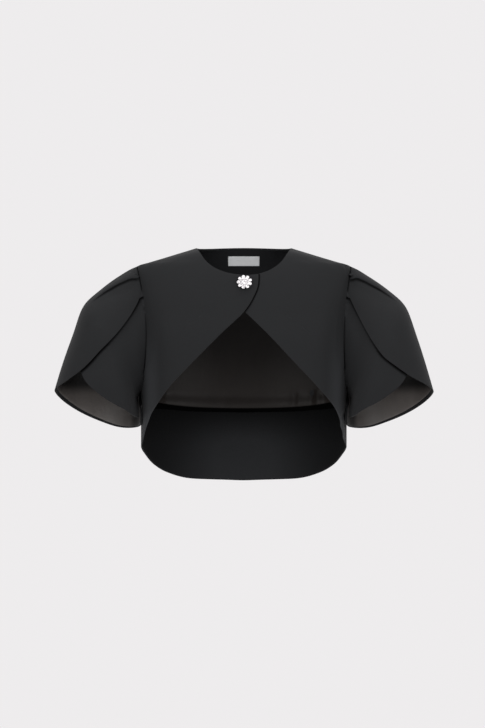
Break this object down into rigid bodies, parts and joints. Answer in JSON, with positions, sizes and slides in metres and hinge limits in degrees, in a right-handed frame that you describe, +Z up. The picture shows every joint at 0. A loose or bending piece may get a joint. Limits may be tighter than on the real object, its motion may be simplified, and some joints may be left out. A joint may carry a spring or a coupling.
{
  "type": "bolero jacket",
  "caption": "Cropped bolero jacket with a cutaway front, petal sleeves and a flower button at a round neck, filled out as if worn.",
  "frame": {"origin": "midway between the two points where the shoulder seams meet the neckline, where the jacket rests on its wearer", "axes": "+X towards the wearer's left side, +Y towards the wearer's back, +Z up"},
  "size_m": [0.6579, 0.2336, 0.4206],
  "materials": {
    "shell": "matte black crepe",
    "lining": "black-brown satin",
    "label": "plain pale grey satin ribbon",
    "button_metal": "polished",
    "button_stones": "cut clear crystal"
  },
  "bodies": {
    "root": {"front_right": "shell", "front_left": "shell", "back": "shell", "back_neck_facing": "shell", "back_hem_facing": "shell", "sleeve_right_over_petal": "shell", "sleeve_right_under_petal": "shell", "sleeve_left_over_petal": "shell", "sleeve_left_under_petal": "shell", "back_lining": "lining", "sleeve_right_lining": "lining", "sleeve_left_lining": "lining", "neck_label": "label", "button_shank": "button_metal", "button_plate": "button_metal", "button_stone_centre": "button_stones", "button_stone_1": "button_stones", "button_stone_2": "button_stones", "button_stone_3": "button_stones", "button_stone_4": "button_stones", "button_stone_5": "button_stones", "button_stone_6": "button_stones", "button_stone_7": "button_stones", "button_stone_8": "button_stones", "button_stone_9": "button_stones"}
  },
  "joints": []
}
